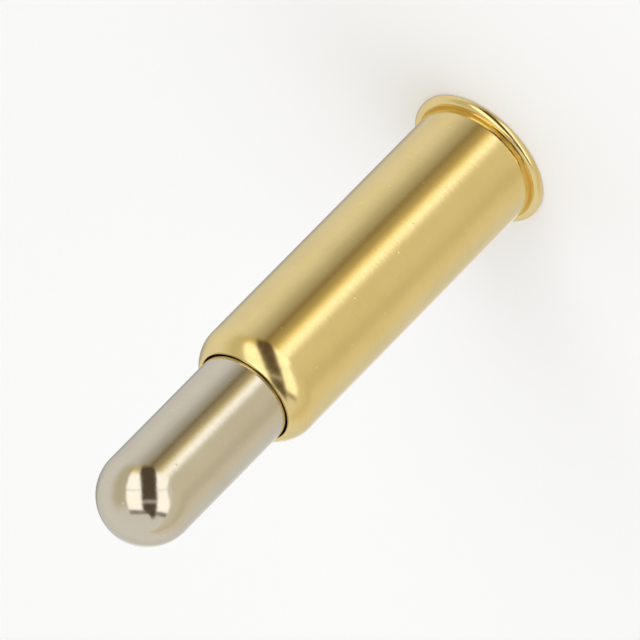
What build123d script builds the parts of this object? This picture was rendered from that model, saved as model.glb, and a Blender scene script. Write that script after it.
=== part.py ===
from build123d import *

import os
from math import cos, pi, radians, sin, sqrt, tan

os.makedirs("parts", exist_ok=True)

# Spring-loaded contact pin that stands on its flange, in millimetres.
# The origin is the centre of the flange's underside, and +Z runs up the axis to the plunger's tip.

# Plunger
plunger_diameter = 1.52
plunger_exposed = 3.08
plunger_stroke = 2.00
crown_length = 2.60
shank_wall = 0.17
shoulder_step = 0.09
tail_chamfer = 0.05
drill_point_angle = 118

# Barrel
barrel_length = 5.78
barrel_wall = 0.13
floor_thickness = 0.50
floor_corner_radius = 0.06
nose_radius = 0.56
lip_width = 0.05
lip_edge_radius = 0.02
flange_overhang = 0.155
flange_thickness = 0.13
flange_rim_radius = 0.08
flange_foot_radius = 0.03
relief_width = 0.04
relief_depth = 0.025
relief_edge_radius = 0.015

# Spring
wire_diameter = 0.14
coil_turns = 11
closed_turns = 1.0
easing_turns = 0.5
ground_depth = 0.10
runs_per_turn = 10

# Clearances: radial in the bore, the mouth and the spring hole, and along the axis elsewhere
bore_clearance = 0.02
mouth_clearance = 0.02
spring_clearance = 0.04
stop_clearance = 0.05
floor_clearance = 0.03
closed_coil_gap = 0.01

# Radii, worked out from the plunger's shank inwards to the spring and outwards to the flange
plunger_radius = plunger_diameter / 2
spring_hole_radius = plunger_radius - shank_wall
wire_radius = wire_diameter / 2
coil_radius = spring_hole_radius - spring_clearance - wire_radius
shoulder_radius = plunger_radius + shoulder_step
bore_radius = shoulder_radius + bore_clearance
barrel_radius = bore_radius + barrel_wall
flange_radius = barrel_radius + flange_overhang
mouth_radius = plunger_radius + mouth_clearance
lip_radius = mouth_radius + lip_width
relief_radius = barrel_radius + relief_width

# The nose: the wall rolls in along two arcs about one centre, and ends in a narrow flat lip round the mouth
curl_centre_radius = barrel_radius - nose_radius
inner_curl_radius = nose_radius - barrel_wall
curl_z = barrel_length - sqrt(nose_radius**2 - (lip_radius - curl_centre_radius) ** 2)
throat_z = curl_z + sqrt(inner_curl_radius**2 - (mouth_radius - curl_centre_radius) ** 2)

# Heights on the plunger: its shoulder stops just under the rolled nose, and its tail just over the floor
tip_z = barrel_length + plunger_exposed
tip_centre_z = tip_z - plunger_radius
stop_z = curl_z + sqrt(inner_curl_radius**2 - (shoulder_radius - curl_centre_radius) ** 2)
shoulder_z = stop_z - stop_clearance
tail_z = floor_thickness + plunger_stroke + floor_clearance
spring_seat_z = tip_z - crown_length
drill_point_z = spring_seat_z + spring_hole_radius / tan(radians(drill_point_angle / 2))

# The spring's rise from one end of its wire to the other, before its ends are ground flat
first_coil_z = floor_thickness + wire_radius - ground_depth
last_coil_z = spring_seat_z - wire_radius + ground_depth
coil_rise = last_coil_z - first_coil_z
closed_pitch = wire_diameter + closed_coil_gap
open_turns = coil_turns - 2 * closed_turns - easing_turns
open_pitch = closed_pitch + (coil_rise - closed_pitch * coil_turns) / open_turns

# Barrel: tube, closed bottom and flange turned in one piece, with a shallow relief where the flange meets the
# tube, and the nose rolled in over the plunger
with BuildPart() as barrel:
    with BuildSketch(Plane.XZ) as barrel_section:
        with BuildLine():
            Polyline(
                (0, floor_thickness),
                (0, 0),
                (flange_radius, 0),
                (flange_radius, flange_thickness),
                (relief_radius, flange_thickness),
                (barrel_radius, flange_thickness - relief_depth),
                (barrel_radius, curl_z),
            )
            TangentArc((barrel_radius, curl_z), (lip_radius, barrel_length), tangent=(0, 1))
            Polyline((lip_radius, barrel_length), (mouth_radius, barrel_length), (mouth_radius, throat_z))
            TangentArc((bore_radius, curl_z), (mouth_radius, throat_z), tangent=(0, 1))
            Polyline((bore_radius, curl_z), (bore_radius, floor_thickness), (0, floor_thickness))
        make_face()
        corners = barrel_section.vertices()
        flange_foot = corners.sort_by_distance((flange_radius, 0))[0]
        flange_rim = corners.sort_by_distance((flange_radius, flange_thickness))[0]
        relief_edge = corners.sort_by_distance((relief_radius, flange_thickness))[0]
        floor_corner = corners.sort_by_distance((bore_radius, floor_thickness))[0]
        lip_edges = corners.group_by(Axis.Y)[-1]
        fillet(flange_foot, flange_foot_radius)
        fillet(flange_rim, flange_rim_radius)
        fillet(relief_edge, relief_edge_radius)
        fillet(floor_corner, floor_corner_radius)
        fillet(lip_edges, lip_edge_radius)
    revolve(axis=Axis.Z)
barrel.part.label = "barrel"
export_step(barrel.part, "parts/barrel.step")

# Plunger: round tip and shank, a shoulder that the nose traps, and a skirt drilled out for the spring
with BuildPart() as plunger:
    with BuildSketch(Plane.XZ) as plunger_section:
        with BuildLine():
            Polyline(
                (0, tip_z),
                (0, drill_point_z),
                (spring_hole_radius, spring_seat_z),
                (spring_hole_radius, tail_z),
                (shoulder_radius, tail_z),
                (shoulder_radius, shoulder_z),
                (plunger_radius, shoulder_z + shoulder_step),
                (plunger_radius, tip_centre_z),
            )
            TangentArc((plunger_radius, tip_centre_z), (0, tip_z), tangent=(0, 1))
        make_face()
        chamfer(plunger_section.vertices().group_by(Axis.Y)[0], tail_chamfer)
    revolve(axis=Axis.Z)
plunger.part.label = "plunger"
export_step(plunger.part, "parts/plunger.step")


def open_turns_so_far(turn):
    """Turns wound at the open pitch by now: none along the closed coil, then more and more, then all."""
    past_closed_coil = max(turn - closed_turns, 0)
    if past_closed_coil < easing_turns:
        return past_closed_coil**2 / (2 * easing_turns)
    return past_closed_coil - easing_turns / 2


def wire_rise(turn):
    """How far the wire's centre has climbed after some turns; the upper half mirrors the lower half."""
    if turn > coil_turns / 2:
        return coil_rise - wire_rise(coil_turns - turn)
    return closed_pitch * turn + (open_pitch - closed_pitch) * open_turns_so_far(turn)


def wire_centre(turn):
    """Point on the wire's centre line after some turns."""
    angle = 2 * pi * turn
    return (coil_radius * cos(angle), coil_radius * sin(angle), first_coil_z + wire_rise(turn))


# Spring: round wire wound in short straight runs, with a closed coil at each end and both ends ground flat
with BuildPart() as spring:
    with BuildLine() as wire_line:
        Polyline(*[wire_centre(run / runs_per_turn) for run in range(coil_turns * runs_per_turn + 1)])
    with BuildSketch(Plane(origin=wire_line.line @ 0, z_dir=wire_line.line % 0)):
        Circle(wire_radius)
    sweep(transition=Transition.RIGHT)
    split(bisect_by=Plane.XY.offset(floor_thickness), keep=Keep.TOP)
    split(bisect_by=Plane.XY.offset(spring_seat_z), keep=Keep.BOTTOM)
spring.part.label = "spring"
export_step(spring.part, "parts/spring.step")
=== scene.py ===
"""Looks of a spring-loaded contact pin: gold-plated barrel, pale round-tipped plunger and coil spring."""

import math
from collections import namedtuple

import bmesh
import bpy
from mathutils import Matrix, Vector


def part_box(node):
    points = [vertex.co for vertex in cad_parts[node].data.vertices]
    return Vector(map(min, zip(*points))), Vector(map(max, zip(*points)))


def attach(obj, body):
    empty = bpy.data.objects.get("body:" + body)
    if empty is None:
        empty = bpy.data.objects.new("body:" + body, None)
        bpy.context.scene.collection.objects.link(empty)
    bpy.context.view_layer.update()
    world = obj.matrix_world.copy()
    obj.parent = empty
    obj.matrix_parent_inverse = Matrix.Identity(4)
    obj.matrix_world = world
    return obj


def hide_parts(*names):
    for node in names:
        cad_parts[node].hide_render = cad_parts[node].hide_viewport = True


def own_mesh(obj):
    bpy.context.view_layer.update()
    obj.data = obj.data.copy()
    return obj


bl_info = {
    "name": "Pogo Pin",
    "version": (1, 0, 0),
    "blender": (4, 5, 0),
    "location": "View3D > Sidebar > Pogo Pin",
    "description": "Builds a plated spring contact pin and the soft studio it stands in",
    "category": "Add Mesh",
}

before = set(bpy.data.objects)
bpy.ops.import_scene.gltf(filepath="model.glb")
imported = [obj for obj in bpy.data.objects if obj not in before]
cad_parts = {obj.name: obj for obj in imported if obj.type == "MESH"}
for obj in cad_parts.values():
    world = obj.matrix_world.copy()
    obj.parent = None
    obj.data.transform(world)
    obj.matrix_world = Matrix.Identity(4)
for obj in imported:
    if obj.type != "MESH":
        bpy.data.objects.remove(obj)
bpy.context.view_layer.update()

MM = 0.001
_, BARREL_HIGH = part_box("barrel")
PLUNGER_LOW, PLUNGER_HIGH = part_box("plunger")
SPRING_LOW, SPRING_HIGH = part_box("spring")


def length_property(name, description, default):
    """A size in metres, shown in the scene's length unit."""
    return bpy.props.FloatProperty(
        name=name, description=description, default=default, precision=6, unit="LENGTH"
    )


def number_property(name, description, default):
    """A plain number from nothing upwards."""
    return bpy.props.FloatProperty(
        name=name, description=description, default=default, min=0.0, precision=3
    )


def angle_property(name, description, degrees):
    """An angle, kept in radians and shown in degrees."""
    return bpy.props.FloatProperty(
        name=name, description=description, default=math.radians(degrees), subtype="ANGLE"
    )


def colour_property(name, description, default):
    """A colour in linear light."""
    return bpy.props.FloatVectorProperty(
        name=name, description=description, default=default, size=3, min=0.0, max=1.0, subtype="COLOR"
    )


class PogoPinSizes(bpy.types.PropertyGroup):
    """Sizes of the pin's three pieces"""

    flange_radius: length_property("Flange radius", "Outer radius of the foot flange", BARREL_HIGH.x)
    flange_thickness: length_property("Flange thickness", "Height of the foot flange", 0.13 * MM)
    flange_rim_radius: length_property("Rim rounding", "Rounding of the flange's upper rim", 0.08 * MM)
    flange_foot_radius: length_property("Foot rounding", "Rounding of the flange's lower rim", 0.03 * MM)
    relief_width: length_property("Relief width", "Width of the relief round the barrel's foot", 0.04 * MM)
    relief_depth: length_property("Relief depth", "Depth of the relief in the flange's top", 0.025 * MM)
    relief_edge_radius: length_property("Relief rounding", "Rounding of the relief's edge", 0.015 * MM)
    barrel_radius: length_property("Barrel radius", "Outer radius of the straight barrel", 1.0 * MM)
    barrel_wall: length_property("Barrel wall", "Thickness of the barrel's wall", 0.13 * MM)
    barrel_top: length_property("Barrel height", "Height of the lip above the foot", BARREL_HIGH.z)
    floor_top: length_property("Floor height", "Height of the floor inside the barrel", SPRING_LOW.z)
    floor_corner_radius: length_property("Floor rounding", "Rounding in the bottom of the bore", 0.06 * MM)
    nose_radius: length_property("Nose radius", "Radius of the rolled-in nose, in section", 0.56 * MM)
    lip_width: length_property("Lip width", "Width of the flat lip round the mouth", 0.05 * MM)
    lip_edge_radius: length_property("Lip rounding", "Rounding of the lip's two edges", 0.02 * MM)
    mouth_clearance: length_property("Mouth clearance", "Gap between the lip and the shank", 0.02 * MM)
    shank_radius: length_property("Shank radius", "Radius of the plunger's shank and tip", 0.76 * MM)
    shank_wall: length_property("Shank wall", "Wall round the plunger's spring hole", 0.17 * MM)
    shoulder_radius: length_property("Shoulder radius", "Radius of the guide skirt", PLUNGER_HIGH.x)
    stop_clearance: length_property("Stop clearance", "Gap between the shoulder and the nose", 0.05 * MM)
    tail_chamfer: length_property("Tail chamfer", "Chamfer of the plunger's open end", 0.05 * MM)
    tip_top: length_property("Tip height", "Height of the round tip above the foot", PLUNGER_HIGH.z)
    tail_height: length_property("Tail height", "Height of the plunger's open end", PLUNGER_LOW.z)
    spring_seat: length_property("Spring seat", "Height where spring and plunger meet", SPRING_HIGH.z)
    drill_angle: angle_property("Drill point", "Full angle of the drilled hole's point", 118.0)
    wire_radius: length_property("Wire radius", "Radius of the spring's wire", 0.07 * MM)
    coil_radius: length_property("Coil radius", "Radius of the coil, to the wire's centre", 0.48 * MM)
    ground_depth: length_property("Ground depth", "How deep each end of the coil is ground", 0.10 * MM)
    closed_pitch: length_property("Closed pitch", "Rise of the closed coil at each end", 0.15 * MM)
    coil_turns: number_property("Coil turns", "Turns of the spring, end to end", 11.0)


class PogoPinFinishes(bpy.types.PropertyGroup):
    """Colours and polish of the platings and the wire"""

    gold: colour_property("Gold", "Colour of the barrel's plating", (0.850, 0.678, 0.315))
    gold_deep: colour_property("Deep gold", "Colour of thicker gold plating", (0.805, 0.635, 0.280))
    gold_roughness: number_property("Gold roughness", "Roughness of the barrel's plating", 0.13)
    nickel: colour_property("Nickel", "Colour of the plunger's plating", (0.675, 0.617, 0.498))
    nickel_deep: colour_property("Deep nickel", "Colour of thicker nickel plating", (0.645, 0.585, 0.465))
    nickel_roughness: number_property("Nickel roughness", "Roughness of the plunger's plating", 0.13)
    steel: colour_property("Steel", "Colour of the spring's wire", (0.560, 0.555, 0.550))
    steel_deep: colour_property("Drawn steel", "Colour of the wire's drawing marks", (0.400, 0.395, 0.390))
    steel_roughness: number_property("Steel roughness", "Roughness of the spring's wire", 0.28)


class PogoPinStudio(bpy.types.PropertyGroup):
    """Light, floor and camera"""

    tent_level: number_property("Tent level", "Brightness of the white tent", 0.85)
    softbox_level: number_property("Softbox level", "Brightness of the two softboxes", 1.52)
    flag_colour: colour_property("Flag colour", "Colour of the dark slot and stand", (0.11, 0.08, 0.055))
    floor_colour: colour_property("Floor colour", "Colour of the floor", (0.95, 0.957, 0.975))
    lamp_power: number_property("Lamp power", "Power in watts of the lamp over the floor", 0.18)
    view_elevation: angle_property("View elevation", "How far the camera stands above the horizon", 31.0)
    view_roll: angle_property("View roll", "Turn of the pin's axis in the picture", 225.44)
    view_distance: length_property("View distance", "Distance from the camera to the pin", 257.0 * MM)
    view_height: length_property("View height", "Height on the pin that the camera looks at", 3.943 * MM)
    lens: number_property("Lens", "Focal length of the camera in millimetres", 988.0)


# Drawing a section in the XZ plane and turning it about the pin's axis

TURN_STEPS = 224
RING_SPACING = 0.1 * MM
MERGE_DISTANCE = 2e-7
SHARP_ANGLE = math.radians(32.0)
ORIGIN = (0.0, 0.0, 0.0)
PIN_AXIS = (0.0, 0.0, 1.0)
SECTION_AXIS = (0.0, -1.0, 0.0)


def start_section(radius, height):
    """A new mesh with the section's first point."""
    bm = bmesh.new()
    point = bmesh.ops.create_vert(bm, co=(radius, 0.0, height))["vert"][0]
    return bm, point


def line_to(bm, point, radius, height):
    """Draw a straight line from a point of the section, and return its end."""
    end = bmesh.ops.extrude_vert_indiv(bm, verts=[point])["verts"][0]
    end.co = (radius, 0.0, height)
    return end


def arc_about(bm, point, centre_radius, centre_height, angle, steps):
    """Draw an arc about a centre from a point of the section, and return its end."""
    centre = (centre_radius, 0.0, centre_height)
    arc = bmesh.ops.spin(bm, geom=[point], cent=centre, axis=SECTION_AXIS, angle=angle, steps=steps)
    return next(item for item in arc["geom_last"] if isinstance(item, bmesh.types.BMVert))


def round_corners(bm, corners, reach, segments):
    """Round corners of the section; the rounding starts that far from each corner."""
    bmesh.ops.bevel(
        bm,
        geom=corners,
        offset=reach,
        offset_type="OFFSET",
        segments=segments,
        profile=0.5,
        affect="VERTICES",
        material=-1,
    )


def add_rings(bm):
    """Divide the section's long lines, so that shading stays even along them."""
    for edge in bm.edges[:]:
        cuts = int(edge.calc_length() / RING_SPACING)
        if cuts:
            bmesh.ops.subdivide_edges(bm, edges=[edge], cuts=cuts)


def turn_section(bm):
    """Turn the section once round the pin's axis, and close its seam and poles."""
    add_rings(bm)
    section = bm.verts[:] + bm.edges[:]
    bmesh.ops.spin(
        bm, geom=section, cent=ORIGIN, axis=PIN_AXIS, angle=math.tau, steps=TURN_STEPS, use_merge=True
    )


def finish_piece(bm, name, material):
    """Merge, orient and shade a mesh, and put it in the scene as a piece at the origin."""
    bmesh.ops.remove_doubles(bm, verts=bm.verts[:], dist=MERGE_DISTANCE)
    bmesh.ops.recalc_face_normals(bm, faces=bm.faces[:])
    for face in bm.faces:
        face.smooth = True
    for edge in bm.edges:
        edge.smooth = edge.calc_face_angle(0.0) < SHARP_ANGLE
    if any(not edge.is_manifold for edge in bm.edges):
        raise RuntimeError(f"{name} isn't a closed shape")
    mesh = bpy.data.meshes.new(name)
    bm.to_mesh(mesh)
    bm.free()
    mesh.materials.append(material)
    piece = bpy.data.objects.new(name, mesh)
    bpy.context.scene.collection.objects.link(piece)
    return piece


# Shader nodes


def add_node(tree, kind, inputs=None, **settings):
    """Add a node, set its options, and link or set its inputs."""
    node = tree.nodes.new(kind)
    for name, value in settings.items():
        setattr(node, name, value)
    for key, value in (inputs or {}).items():
        if isinstance(value, bpy.types.NodeSocket):
            tree.links.new(value, node.inputs[key])
        else:
            node.inputs[key].default_value = value
    return node


def maths(tree, operation, first, second=0.0):
    """A Math node's result."""
    return add_node(tree, "ShaderNodeMath", {0: first, 1: second}, operation=operation).outputs[0]


def both(tree, first, second):
    """Two strengths multiplied, so that the result is full only where both are."""
    return maths(tree, "MULTIPLY", first, second)


def without(tree, strength, part):
    """A strength with a part of it taken out."""
    return both(tree, strength, maths(tree, "SUBTRACT", 1.0, part))


def ramp(tree, value, start, end, low=0.0, high=1.0):
    """A smooth step of a value from low to high."""
    inputs = {"Value": value, "From Min": start, "From Max": end, "To Min": low, "To Max": high}
    return add_node(tree, "ShaderNodeMapRange", inputs, interpolation_type="SMOOTHSTEP").outputs["Result"]


def mix_colour(tree, factor, first, second):
    """A mix of two colours, each a socket or a plain colour."""
    node = tree.nodes.new("ShaderNodeMix")
    node.data_type = "RGBA"
    colour_inputs = [socket for socket in node.inputs if socket.type == "RGBA"]
    for socket, value in zip([node.inputs[0]] + colour_inputs, (factor, first, second)):
        if isinstance(value, bpy.types.NodeSocket):
            tree.links.new(value, socket)
        elif socket.type == "RGBA":
            socket.default_value = (*value, 1.0)
        else:
            socket.default_value = value
    return next(socket for socket in node.outputs if socket.type == "RGBA")


def tinted(tree, first, second):
    """Two colours multiplied."""
    node = add_node(tree, "ShaderNodeVectorMath", {0: first, 1: second}, operation="MULTIPLY")
    return node.outputs["Vector"]


def colour_steps(tree, value, stops):
    """A colour ramp with a few stops, each a place from 0 to 1 and a colour."""
    node = add_node(tree, "ShaderNodeValToRGB", {"Fac": value})
    steps = node.color_ramp.elements
    while len(steps) < len(stops):
        steps.new(0.5)
    for step, (place, colour) in zip(steps, stops):
        step.position = place
        step.color = (*colour, 1.0)
    return node.outputs["Color"]


# Materials, in millimetres on the piece's own coordinates

NOISE_ROUGHNESS = 0.55


def new_material(name):
    """An empty material with its output, its shader and the piece's coordinates in millimetres."""
    material = bpy.data.materials.new(name)
    material.use_nodes = True
    tree = material.node_tree
    tree.nodes.clear()
    output = tree.nodes.new("ShaderNodeOutputMaterial")
    shader = tree.nodes.new("ShaderNodeBsdfPrincipled")
    tree.links.new(shader.outputs["BSDF"], output.inputs["Surface"])
    place = tree.nodes.new("ShaderNodeTexCoord").outputs["Object"]
    scale = (1.0 / MM, 1.0 / MM, 1.0 / MM)
    place = add_node(tree, "ShaderNodeMapping", {"Vector": place, "Scale": scale}).outputs["Vector"]
    return material, tree, shader, place


def noise(tree, place, scale, detail, stretch=None):
    """Noise from 0 to 1, stretched along the axes where asked."""
    if stretch is not None:
        place = add_node(tree, "ShaderNodeMapping", {"Vector": place, "Scale": stretch}).outputs["Vector"]
    inputs = {"Vector": place, "Scale": scale, "Detail": detail, "Roughness": NOISE_ROUGHNESS}
    return add_node(tree, "ShaderNodeTexNoise", inputs).outputs["Fac"]


def specks(tree, place, scale, size, share):
    """Small scattered dots: 1 inside a dot and 0 elsewhere, with only a share of the cells filled."""
    cell = add_node(tree, "ShaderNodeTexVoronoi", {"Vector": place, "Scale": scale})
    dot = ramp(tree, cell.outputs["Distance"], start=size, end=0.5 * size)
    draw = add_node(tree, "ShaderNodeSeparateColor", {"Color": cell.outputs["Color"]}).outputs[0]
    return both(tree, dot, maths(tree, "LESS_THAN", draw, share))


def bump(tree, height, depth, normal=None):
    """Relief of a height pattern; the depth is in millimetres."""
    inputs = {"Height": height, "Distance": depth * MM, "Strength": 1.0}
    if normal is not None:
        inputs["Normal"] = normal
    return add_node(tree, "ShaderNodeBump", inputs).outputs["Normal"]


def plating_material(name, colour, deep_colour, roughness, dull_height=None):
    """Bright plating over turned metal, with turning marks, orange peel, thicker patches and flecks: small
    pits whose colour is lifted as a painted glint.

    Above the dull height, where the metal was rolled after turning, the polish is softer.
    """
    patch_share = 0.65
    turning_share = 0.35
    smoothest = 0.8 * roughness
    roughest = 1.25 * roughness
    rolled_roughness = 0.07
    fleck_strength = 0.5
    painted_glint_gain = 1.18
    fleck_roughness = 0.05
    material, tree, shader, place = new_material(name)
    patches = noise(tree, place, scale=1.6, detail=3.0)
    turning = noise(tree, place, scale=1.0, detail=4.0, stretch=(0.02, 0.02, 22.0))
    peel = noise(tree, place, scale=14.0, detail=3.0)
    flecks = specks(tree, place, scale=6.5, size=0.15, share=0.2)
    flecks_and_painted_glint = both(tree, flecks, fleck_strength)

    thickness = maths(tree, "ADD", both(tree, patches, patch_share), both(tree, turning, turning_share))
    body = mix_colour(tree, ramp(tree, thickness, start=0.35, end=0.7), colour, deep_colour)
    # Painted glint: the flecks' base colour is lifted above the plating's own colour, so that they look
    # lit; their pits are the bump below.
    painted_glint_colour = tuple(min(1.0, painted_glint_gain * channel) for channel in colour)
    tree.links.new(mix_colour(tree, flecks_and_painted_glint, body, painted_glint_colour), shader.inputs["Base Color"])

    polish = ramp(tree, peel, start=0.3, end=0.75, low=smoothest, high=roughest)
    polish = maths(tree, "ADD", polish, both(tree, flecks_and_painted_glint, fleck_roughness))
    if dull_height is not None:
        height = add_node(tree, "ShaderNodeSeparateXYZ", {"Vector": place}).outputs["Z"]
        above = maths(tree, "SUBTRACT", height, dull_height / MM)
        polish = maths(tree, "ADD", polish, ramp(tree, above, start=-0.1, end=0.2, high=rolled_roughness))
    tree.links.new(polish, shader.inputs["Roughness"])

    relief = bump(tree, turning, depth=0.0004)
    relief = bump(tree, peel, depth=0.0006, normal=relief)
    relief = bump(tree, flecks, depth=0.0012, normal=relief)
    tree.links.new(relief, shader.inputs["Normal"])
    shader.inputs["Metallic"].default_value = 1.0
    return material


def wire_material(finishes):
    """Hard-drawn spring wire: satin steel with fine drawing marks."""
    least_stain = 0.5
    smoothest = 0.8 * finishes.steel_roughness
    roughest = 1.3 * finishes.steel_roughness
    material, tree, shader, place = new_material("spring_wire")
    marks = noise(tree, place, scale=1.0, detail=5.0, stretch=(9.0, 9.0, 60.0))
    stain = maths(tree, "ADD", noise(tree, place, scale=2.2, detail=3.0), least_stain)
    tint = ramp(tree, both(tree, marks, stain), start=0.25, end=0.75)
    colour = mix_colour(tree, tint, finishes.steel, finishes.steel_deep)
    tree.links.new(colour, shader.inputs["Base Color"])
    polish = ramp(tree, marks, start=0.3, end=0.7, low=smoothest, high=roughest)
    tree.links.new(polish, shader.inputs["Roughness"])
    tree.links.new(bump(tree, marks, depth=0.0008), shader.inputs["Normal"])
    shader.inputs["Metallic"].default_value = 1.0
    return material


# Pieces


def nose_curl(sizes):
    """Radius and height of the centre that the nose is rolled about, and the angle it is rolled through."""
    lip_radius = sizes.shank_radius + sizes.mouth_clearance + sizes.lip_width
    curl_radius = sizes.barrel_radius - sizes.nose_radius
    angle = math.acos((lip_radius - curl_radius) / sizes.nose_radius)
    return curl_radius, sizes.barrel_top - sizes.nose_radius * math.sin(angle), angle


class POGO_PIN_OT_barrel(bpy.types.Operator):
    """Turn the gold-plated barrel with its foot flange, closed bottom and rolled-in nose"""

    bl_idname = "pogo_pin.barrel"
    bl_label = "Barrel"

    NOSE_STEPS = 22
    INNER_NOSE_STEPS = 14
    FOOT_SEGMENTS = 8
    RIM_SEGMENTS = 14
    EDGE_SEGMENTS = 5
    CORNER_SEGMENTS = 6

    def execute(self, context):
        sizes = context.scene.pogo_pin_sizes
        finishes = context.scene.pogo_pin_finishes
        curl_radius, curl_height, nose_angle = nose_curl(sizes)
        bore_radius = sizes.barrel_radius - sizes.barrel_wall
        mouth_radius = sizes.shank_radius + sizes.mouth_clearance
        relief_radius = sizes.barrel_radius + sizes.relief_width
        relief_height = sizes.flange_thickness - sizes.relief_depth
        inner_curl = sizes.nose_radius - sizes.barrel_wall
        inner_angle = math.acos((mouth_radius - curl_radius) / inner_curl)
        throat_height = curl_height + inner_curl * math.sin(inner_angle)

        bm, foot_centre = start_section(0.0, 0.0)
        rim_bottom = line_to(bm, foot_centre, sizes.flange_radius, 0.0)
        rim_top = line_to(bm, rim_bottom, sizes.flange_radius, sizes.flange_thickness)
        relief_edge = line_to(bm, rim_top, relief_radius, sizes.flange_thickness)
        relief_root = line_to(bm, relief_edge, sizes.barrel_radius, relief_height)
        nose_start = line_to(bm, relief_root, sizes.barrel_radius, curl_height)
        lip_outer = arc_about(bm, nose_start, curl_radius, curl_height, nose_angle, self.NOSE_STEPS)
        lip_inner = line_to(bm, lip_outer, mouth_radius, sizes.barrel_top)
        throat = line_to(bm, lip_inner, mouth_radius, throat_height)
        bore_top = arc_about(bm, throat, curl_radius, curl_height, -inner_angle, self.INNER_NOSE_STEPS)
        bore_bottom = line_to(bm, bore_top, bore_radius, sizes.floor_top)
        line_to(bm, bore_bottom, 0.0, sizes.floor_top)

        lip_reach = sizes.lip_edge_radius * math.tan((math.pi / 2.0 - nose_angle) / 2.0)
        relief_turn = math.atan2(sizes.relief_depth, sizes.relief_width)
        relief_reach = sizes.relief_edge_radius * math.tan(relief_turn / 2.0)
        round_corners(bm, [rim_bottom], sizes.flange_foot_radius, self.FOOT_SEGMENTS)
        round_corners(bm, [rim_top], sizes.flange_rim_radius, self.RIM_SEGMENTS)
        round_corners(bm, [relief_edge], relief_reach, self.EDGE_SEGMENTS)
        round_corners(bm, [lip_outer], lip_reach, self.EDGE_SEGMENTS)
        round_corners(bm, [lip_inner], sizes.lip_edge_radius, self.CORNER_SEGMENTS)
        round_corners(bm, [bore_bottom], sizes.floor_corner_radius, self.CORNER_SEGMENTS)
        turn_section(bm)

        gold = plating_material(
            "gold_plating",
            finishes.gold,
            finishes.gold_deep,
            finishes.gold_roughness,
            dull_height=curl_height,
        )
        barrel = finish_piece(bm, "barrel_shell", gold)
        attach(barrel, "barrel")
        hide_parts("barrel")
        return {"FINISHED"}


class POGO_PIN_OT_plunger(bpy.types.Operator):
    """Turn the pale plunger with its round tip, retaining shoulder and drilled skirt"""

    bl_idname = "pogo_pin.plunger"
    bl_label = "Plunger"

    TIP_STEPS = 56
    CHAMFER_SEGMENTS = 1

    def execute(self, context):
        sizes = context.scene.pogo_pin_sizes
        finishes = context.scene.pogo_pin_finishes
        curl_radius, curl_height, _ = nose_curl(sizes)
        hole_radius = sizes.shank_radius - sizes.shank_wall
        tip_centre = sizes.tip_top - sizes.shank_radius
        point_height = sizes.spring_seat + hole_radius / math.tan(sizes.drill_angle / 2.0)
        step = sizes.shoulder_radius - sizes.shank_radius
        inner_curl = sizes.nose_radius - sizes.barrel_wall
        stop_height = curl_height + math.sqrt(inner_curl**2 - (sizes.shoulder_radius - curl_radius) ** 2)
        shoulder_height = stop_height - sizes.stop_clearance

        bm, drill_point = start_section(0.0, point_height)
        hole_end = line_to(bm, drill_point, hole_radius, sizes.spring_seat)
        tail_inner = line_to(bm, hole_end, hole_radius, sizes.tail_height)
        tail_outer = line_to(bm, tail_inner, sizes.shoulder_radius, sizes.tail_height)
        shoulder = line_to(bm, tail_outer, sizes.shoulder_radius, shoulder_height)
        shank_foot = line_to(bm, shoulder, sizes.shank_radius, shoulder_height + step)
        tip_start = line_to(bm, shank_foot, sizes.shank_radius, tip_centre)
        tip = arc_about(bm, tip_start, 0.0, tip_centre, math.pi / 2.0, self.TIP_STEPS)
        tip.co = (0.0, 0.0, sizes.tip_top)
        round_corners(bm, [tail_inner, tail_outer], sizes.tail_chamfer, self.CHAMFER_SEGMENTS)
        turn_section(bm)

        nickel = plating_material(
            "nickel_plating", finishes.nickel, finishes.nickel_deep, finishes.nickel_roughness
        )
        plunger = finish_piece(bm, "plunger_body", nickel)
        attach(plunger, "plunger")
        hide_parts("plunger")
        return {"FINISHED"}


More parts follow.
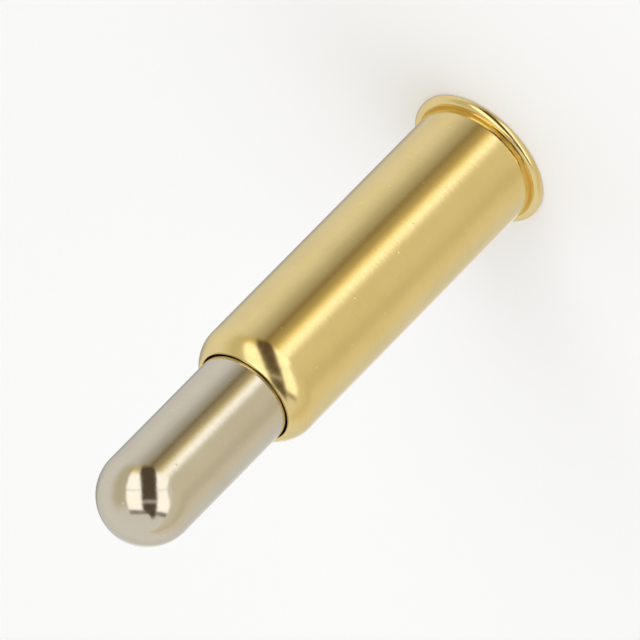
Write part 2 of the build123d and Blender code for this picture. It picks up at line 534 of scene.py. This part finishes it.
class POGO_PIN_OT_spring(bpy.types.Operator):
    """Wind the coil spring with closed ends, and grind both ends flat"""

    bl_idname = "pogo_pin.spring"
    bl_label = "Spring"

    WIRE_SIDES = 20
    STEPS_PER_TURN = 56
    CLOSED_TURNS = 1.0
    EASING_TURNS = 0.5
    EASING_STRETCHES = 7
    CUT_TOLERANCE = 1e-9

    def stretches(self, sizes, rise):
        """Turns and pitch of each stretch of the coil, from its lower end to its upper end."""
        open_turns = sizes.coil_turns - 2.0 * self.CLOSED_TURNS - self.EASING_TURNS
        open_pitch = sizes.closed_pitch + (rise - sizes.closed_pitch * sizes.coil_turns) / open_turns
        easing = []
        for stretch in range(self.EASING_STRETCHES):
            share = (stretch + 0.5) / self.EASING_STRETCHES
            pitch = sizes.closed_pitch + share * (open_pitch - sizes.closed_pitch)
            easing.append((self.EASING_TURNS / self.EASING_STRETCHES, pitch))
        closed = [(self.CLOSED_TURNS, sizes.closed_pitch)]
        middle = [(open_turns - self.EASING_TURNS, open_pitch)]
        return closed + easing + middle + easing[::-1] + closed

    def wind(self, sizes):
        """The whole wire as a closed tube, before its ends are ground."""
        first_height = sizes.floor_top + sizes.wire_radius - sizes.ground_depth
        last_height = sizes.spring_seat - sizes.wire_radius + sizes.ground_depth
        bm = bmesh.new()
        upright = Matrix.Rotation(math.pi / 2.0, 4, "X")
        place = Matrix.Translation((sizes.coil_radius, 0.0, first_height)) @ upright
        ring = bmesh.ops.create_circle(
            bm, segments=self.WIRE_SIDES, radius=sizes.wire_radius, cap_ends=False, matrix=place
        )
        first_ring = bm.edges[:]
        geom = ring["verts"] + first_ring
        for turns, pitch in self.stretches(sizes, last_height - first_height):
            steps = max(1, round(turns * self.STEPS_PER_TURN))
            wound = bmesh.ops.spin(
                bm,
                geom=geom,
                cent=ORIGIN,
                axis=PIN_AXIS,
                dvec=(0.0, 0.0, turns * pitch / steps),
                angle=turns * math.tau,
                steps=steps,
            )
            geom = [item for item in wound["geom_last"] if not isinstance(item, bmesh.types.BMFace)]
        last_ring = [item for item in geom if isinstance(item, bmesh.types.BMEdge)]
        bmesh.ops.edgeloop_fill(bm, edges=first_ring)
        bmesh.ops.edgeloop_fill(bm, edges=last_ring)
        return bm

    def grind(self, bm, height, way):
        """Cut the wire off flat at a height, above it or below it, and close the cut."""
        cut = bmesh.ops.bisect_plane(
            bm,
            geom=bm.verts[:] + bm.edges[:] + bm.faces[:],
            dist=self.CUT_TOLERANCE,
            plane_co=(0.0, 0.0, height),
            plane_no=(0.0, 0.0, way),
            clear_outer=True,
        )
        loop = [item for item in cut["geom_cut"] if isinstance(item, bmesh.types.BMEdge)]
        bmesh.ops.triangle_fill(bm, use_beauty=True, edges=loop, normal=(0.0, 0.0, way))

    def execute(self, context):
        sizes = context.scene.pogo_pin_sizes
        finishes = context.scene.pogo_pin_finishes
        bm = self.wind(sizes)
        self.grind(bm, sizes.floor_top, -1.0)
        self.grind(bm, sizes.spring_seat, 1.0)

        spring = finish_piece(bm, "spring_coil", wire_material(finishes))
        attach(spring, "barrel")
        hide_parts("spring")
        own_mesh(spring)
        return {"FINISHED"}


# Studio, laid out in degrees across the picture and up it, as seen from the pin

WHITE = (1.0, 1.0, 1.0)
BLACK = (0.0, 0.0, 0.0)
WARM_CLOTH = (0.93, 0.87, 0.71)
FOLDED_CLOTH = (0.72, 0.66, 0.52)
DIM_CLOTH = (0.75, 0.72, 0.57)
AMBER = (1.0, 0.87, 0.56)
BRIGHT_STRIP = (1.3, 1.3, 1.25)
FLAG_STEPS = (
    (0.0, (0.31, 0.27, 0.19)),
    (0.14, (0.49, 0.46, 0.39)),
    (0.40, (0.67, 0.66, 0.62)),
    (0.65, (0.89, 0.89, 0.88)),
    (0.95, (1.0, 1.0, 1.0)),
)

# A ray's direction in the scene and towards the camera, and the angles that place the lights along it
Ray = namedtuple("Ray", "place ahead up leaned tilted from_left from_right off_flag")


def picture_axes(studio):
    """The directions in the scene of the picture's right, its top and the camera."""
    along_x = Vector((1.0, 0.0, 0.0))
    up_the_pin = Vector((0.0, math.sin(studio.view_elevation), math.cos(studio.view_elevation)))
    camera = Vector((0.0, -math.cos(studio.view_elevation), math.sin(studio.view_elevation)))
    right = math.cos(studio.view_roll) * up_the_pin + math.sin(studio.view_roll) * along_x
    top = math.sin(studio.view_roll) * up_the_pin - math.cos(studio.view_roll) * along_x
    return right, top, camera


def direction(axes, across, up):
    """The scene's direction at two angles: across the picture and up it."""
    right, top, camera = axes
    flat = math.cos(math.radians(up))
    ahead = flat * math.cos(math.radians(across)) * camera
    return flat * math.sin(math.radians(across)) * right + math.sin(math.radians(up)) * top + ahead


def angle_ramp(tree, angle, start, end, low=0.0, high=1.0):
    """A smooth step from low to high between two angles."""
    return ramp(tree, angle, math.radians(start), math.radians(end), low, high)


def window(tree, angle, low, high, soft):
    """1 between two angles and 0 outside, with soft edges."""
    rise = angle_ramp(tree, angle, low - soft, low + soft)
    fall = angle_ramp(tree, angle, high - soft, high + soft, 1.0, 0.0)
    return both(tree, rise, fall)


def studio_ray(tree, studio):
    """Where a ray points in the studio; the softboxes lean a little and spread apart towards the top."""
    lean = 0.05
    tilt = 0.067
    axes = picture_axes(studio)
    right, top, camera = axes
    look = tree.nodes.new("ShaderNodeTexCoord").outputs["Generated"]

    def along(axis):
        node = add_node(tree, "ShaderNodeVectorMath", {0: look, 1: axis}, operation="DOT_PRODUCT")
        return node.outputs["Value"]

    ahead = along(camera)
    across = maths(tree, "ARCTAN2", along(right), ahead)
    up = maths(tree, "ARCSINE", along(top))
    leaned = maths(tree, "ADD", across, both(tree, up, lean))
    tilted = maths(tree, "ADD", up, both(tree, across, tilt))
    spread = angle_ramp(tree, up, start=15.0, end=58.0, high=math.radians(8.0))
    from_left = maths(tree, "ADD", leaned, spread)
    from_right = maths(tree, "SUBTRACT", leaned, spread)
    off_flag = maths(tree, "ARCCOSINE", along(direction(axes, across=24.0, up=70.0)))
    place = add_node(tree, "ShaderNodeSeparateXYZ", {"Vector": look}).outputs
    return Ray(place, ahead, up, leaned, tilted, from_left, from_right, off_flag)


def flag_shade(tree, ray):
    """A dark flag over the softboxes, with the tent darkening towards it."""
    reach = math.radians(45.0)
    shade = colour_steps(tree, maths(tree, "DIVIDE", ray.off_flag, reach), FLAG_STEPS)
    front = ramp(tree, ray.ahead, start=0.2, end=0.38)
    over_boxes = both(tree, front, angle_ramp(tree, ray.up, start=40.0, end=52.0))
    return tinted(tree, shade, mix_colour(tree, over_boxes, WHITE, AMBER))


def tent_light(tree, ray, studio):
    """The white tent: warm on its right, dim beside the left softbox, at the back and near the flag."""
    fold_strength = 0.5
    warm_side = both(
        tree,
        angle_ramp(tree, ray.leaned, start=50.0, end=64.0),
        angle_ramp(tree, ray.leaned, start=92.0, end=150.0, low=1.0, high=0.0),
    )
    fold = both(tree, window(tree, ray.leaned, low=79.0, high=95.0, soft=8.0), fold_strength)
    dim_side = both(
        tree,
        window(tree, ray.leaned, low=-84.0, high=-40.0, soft=14.0),
        window(tree, ray.up, low=-22.0, high=62.0, soft=14.0),
    )
    cloth = mix_colour(tree, warm_side, WHITE, WARM_CLOTH)
    cloth = mix_colour(tree, fold, cloth, FOLDED_CLOTH)
    cloth = mix_colour(tree, dim_side, cloth, DIM_CLOTH)
    back = ramp(tree, ray.ahead, start=-0.35, end=-0.85, low=1.0, high=0.88)
    cloth = mix_colour(tree, back, BLACK, cloth)
    return tinted(tree, tinted(tree, cloth, flag_shade(tree, ray)), (studio.tent_level,) * 3)


def with_back_strips(tree, ray, studio, light):
    """Hang a soft dark strip and a soft bright one low at the back of the tent."""
    strip_strength = 0.5
    round_back = maths(tree, "ARCTAN2", ray.place["X"], ray.place["Y"])
    low_band = both(
        tree,
        ramp(tree, ray.place["Z"], start=-0.85, end=-0.6, high=strip_strength),
        ramp(tree, ray.place["Z"], start=-0.22, end=0.0, low=1.0, high=0.0),
    )
    dark_strip = both(tree, window(tree, round_back, low=2.0, high=30.0, soft=14.0), low_band)
    bright_strip = both(tree, window(tree, round_back, low=-20.0, high=-7.0, soft=7.0), low_band)
    light = mix_colour(tree, dark_strip, light, studio.flag_colour)
    return mix_colour(tree, bright_strip, light, BRIGHT_STRIP)


def with_softboxes(tree, ray, studio, light):
    """Stand two softboxes in the tent, each of two panels with a thin seam and a warm, soft top edge.

    The right one has a waist: its outer side draws in at the middle.
    """
    seam_strength = 0.6
    level = studio.softbox_level
    warm_level = (level, 0.86 * level, 0.45 * level)
    waist = maths(
        tree,
        "MINIMUM",
        angle_ramp(tree, ray.up, start=12.0, end=34.0, low=math.radians(11.0), high=0.0),
        angle_ramp(tree, ray.up, start=-25.0, end=8.0, low=math.radians(4.0), high=math.radians(11.0)),
    )
    right_box = both(
        tree,
        angle_ramp(tree, ray.from_right, start=20.0, end=25.0),
        angle_ramp(tree, maths(tree, "ADD", ray.leaned, waist), start=53.5, end=59.5, low=1.0, high=0.0),
    )
    left_box = both(
        tree,
        angle_ramp(tree, ray.leaned, start=-51.0, end=-45.0),
        angle_ramp(tree, ray.from_left, start=-17.0, end=-11.0, low=1.0, high=0.0),
    )
    height = both(
        tree,
        angle_ramp(tree, ray.tilted, start=-36.0, end=-30.0),
        angle_ramp(tree, ray.up, start=41.0, end=60.0, low=1.0, high=0.0),
    )
    seam = both(tree, window(tree, ray.up, low=9.5, high=12.5, soft=1.5), seam_strength)
    boxes = both(tree, maths(tree, "MAXIMUM", left_box, right_box), height)
    top_edge = angle_ramp(tree, ray.up, start=43.0, end=56.0)
    panel = mix_colour(tree, top_edge, (level,) * 3, warm_level)
    return mix_colour(tree, without(tree, boxes, seam), light, panel)


def with_dark_slot(tree, ray, studio, light):
    """Leave a dark slot between the softboxes, with a pale bar across it, and a dark stand under them."""
    bar_strength = 0.5
    stand_strength = 0.72
    taper = angle_ramp(tree, ray.up, start=-28.0, end=-54.0, high=math.radians(22.0))
    tapered_left = maths(tree, "SUBTRACT", ray.from_left, taper)
    sides = both(
        tree,
        angle_ramp(tree, tapered_left, start=-15.5, end=-9.5),
        angle_ramp(tree, ray.from_right, start=18.0, end=24.0, low=1.0, high=0.0),
    )
    slot = both(tree, sides, window(tree, ray.up, low=-52.0, high=67.0, soft=6.0))
    bar = both(tree, window(tree, ray.up, low=-18.0, high=-10.0, soft=3.0), bar_strength)
    stand = both(
        tree,
        window(tree, ray.leaned, low=-48.0, high=52.0, soft=4.0),
        window(tree, ray.tilted, low=-43.0, high=-34.0, soft=2.5),
    )
    dark = maths(tree, "MAXIMUM", without(tree, slot, bar), both(tree, stand, stand_strength))
    return mix_colour(tree, dark, light, studio.flag_colour)


def studio_world(studio):
    """The tent with its softboxes and flags round the pin, and plain white behind it."""
    world = bpy.data.worlds.new("soft_studio")
    world.use_nodes = True
    tree = world.node_tree
    tree.nodes.clear()
    ray = studio_ray(tree, studio)
    light = tent_light(tree, ray, studio)
    light = with_back_strips(tree, ray, studio, light)
    light = with_softboxes(tree, ray, studio, light)
    light = with_dark_slot(tree, ray, studio, light)
    camera_ray = tree.nodes.new("ShaderNodeLightPath").outputs["Is Camera Ray"]
    light = mix_colour(tree, camera_ray, light, WHITE)
    background = add_node(tree, "ShaderNodeBackground", {"Color": light, "Strength": 1.0})
    output = tree.nodes.new("ShaderNodeOutputWorld")
    tree.links.new(background.outputs["Background"], output.inputs["Surface"])
    return world


class POGO_PIN_OT_stage(bpy.types.Operator):
    """Lay the pale floor, and set up the light and the camera"""

    bl_idname = "pogo_pin.stage"
    bl_label = "Stage"

    FLOOR_REACH = 0.2
    FLOOR_ROUGHNESS = 0.9
    LAMP_SIZE = 0.25
    LAMP_PLACE = (-0.08, -0.06, 0.25)
    NEAREST = 0.01
    FARTHEST = 2.0

    def lay_floor(self, scene, studio):
        """A plain matt floor, which keeps the pin's shadow."""
        material = bpy.data.materials.new("pale_floor")
        material.use_nodes = True
        shader = material.node_tree.nodes["Principled BSDF"]
        shader.inputs["Base Color"].default_value = (*studio.floor_colour, 1.0)
        shader.inputs["Roughness"].default_value = self.FLOOR_ROUGHNESS
        shader.inputs["Specular IOR Level"].default_value = 0.0
        bm = bmesh.new()
        bmesh.ops.create_grid(bm, x_segments=1, y_segments=1, size=self.FLOOR_REACH)
        mesh = bpy.data.meshes.new("floor")
        bm.to_mesh(mesh)
        bm.free()
        mesh.materials.append(material)
        floor = bpy.data.objects.new("floor", mesh)
        floor.visible_glossy = False
        scene.collection.objects.link(floor)

    def hang_lamp(self, scene, studio):
        """A broad soft lamp over the floor, which the metal doesn't mirror."""
        light = bpy.data.lights.new("floor_lamp", "AREA")
        light.size = self.LAMP_SIZE
        light.energy = studio.lamp_power
        lamp = bpy.data.objects.new("floor_lamp", light)
        lamp.location = self.LAMP_PLACE
        lamp.rotation_euler = (-lamp.location).to_track_quat("-Z", "Y").to_euler()
        lamp.visible_glossy = False
        scene.collection.objects.link(lamp)

    def set_camera(self, scene, studio):
        """A long lens, rolled so that the standing pin lies slanted in the picture."""
        right, top, back = picture_axes(studio)
        lens = bpy.data.cameras.new("camera")
        lens.lens = studio.lens
        lens.clip_start = self.NEAREST
        lens.clip_end = self.FARTHEST
        camera = bpy.data.objects.new("camera", lens)
        turn = Matrix((right, top, back)).transposed().to_4x4()
        place = Vector((0.0, 0.0, studio.view_height)) + studio.view_distance * back
        camera.matrix_world = Matrix.Translation(place) @ turn
        scene.collection.objects.link(camera)
        scene.camera = camera

    def execute(self, context):
        scene = context.scene
        studio = scene.pogo_pin_studio
        scene.view_settings.view_transform = "Standard"
        scene.world = studio_world(studio)
        self.lay_floor(scene, studio)
        self.hang_lamp(scene, studio)
        self.set_camera(scene, studio)
        return {"FINISHED"}


class VIEW3D_PT_pogo_pin(bpy.types.Panel):
    """Lists the pin's pieces and their settings"""

    bl_label = "Pogo Pin"
    bl_space_type = "VIEW_3D"
    bl_region_type = "UI"
    bl_category = "Pogo Pin"

    def draw(self, context):
        for operator in OPERATORS:
            self.layout.operator(operator.bl_idname)
        for name, group in GROUPS.items():
            box = self.layout.box()
            for setting in group.__annotations__:
                box.prop(getattr(context.scene, name), setting)


GROUPS = {
    "pogo_pin_sizes": PogoPinSizes,
    "pogo_pin_finishes": PogoPinFinishes,
    "pogo_pin_studio": PogoPinStudio,
}
OPERATORS = (POGO_PIN_OT_barrel, POGO_PIN_OT_plunger, POGO_PIN_OT_spring, POGO_PIN_OT_stage)


def register():
    """Add the settings, the operators and the panel to Blender."""
    for name, group in GROUPS.items():
        bpy.utils.register_class(group)
        setattr(bpy.types.Scene, name, bpy.props.PointerProperty(type=group))
    for operator in OPERATORS:
        bpy.utils.register_class(operator)
    bpy.utils.register_class(VIEW3D_PT_pogo_pin)


def unregister():
    """Take them out again, in the opposite order."""
    bpy.utils.unregister_class(VIEW3D_PT_pogo_pin)
    for operator in reversed(OPERATORS):
        bpy.utils.unregister_class(operator)
    for name, group in reversed(GROUPS.items()):
        delattr(bpy.types.Scene, name)
        bpy.utils.unregister_class(group)


def main():
    """Build the pin and its stage."""
    register()
    bpy.ops.pogo_pin.barrel()
    bpy.ops.pogo_pin.plunger()
    bpy.ops.pogo_pin.spring()
    bpy.ops.pogo_pin.stage()


if __name__ == "__main__":
    main()
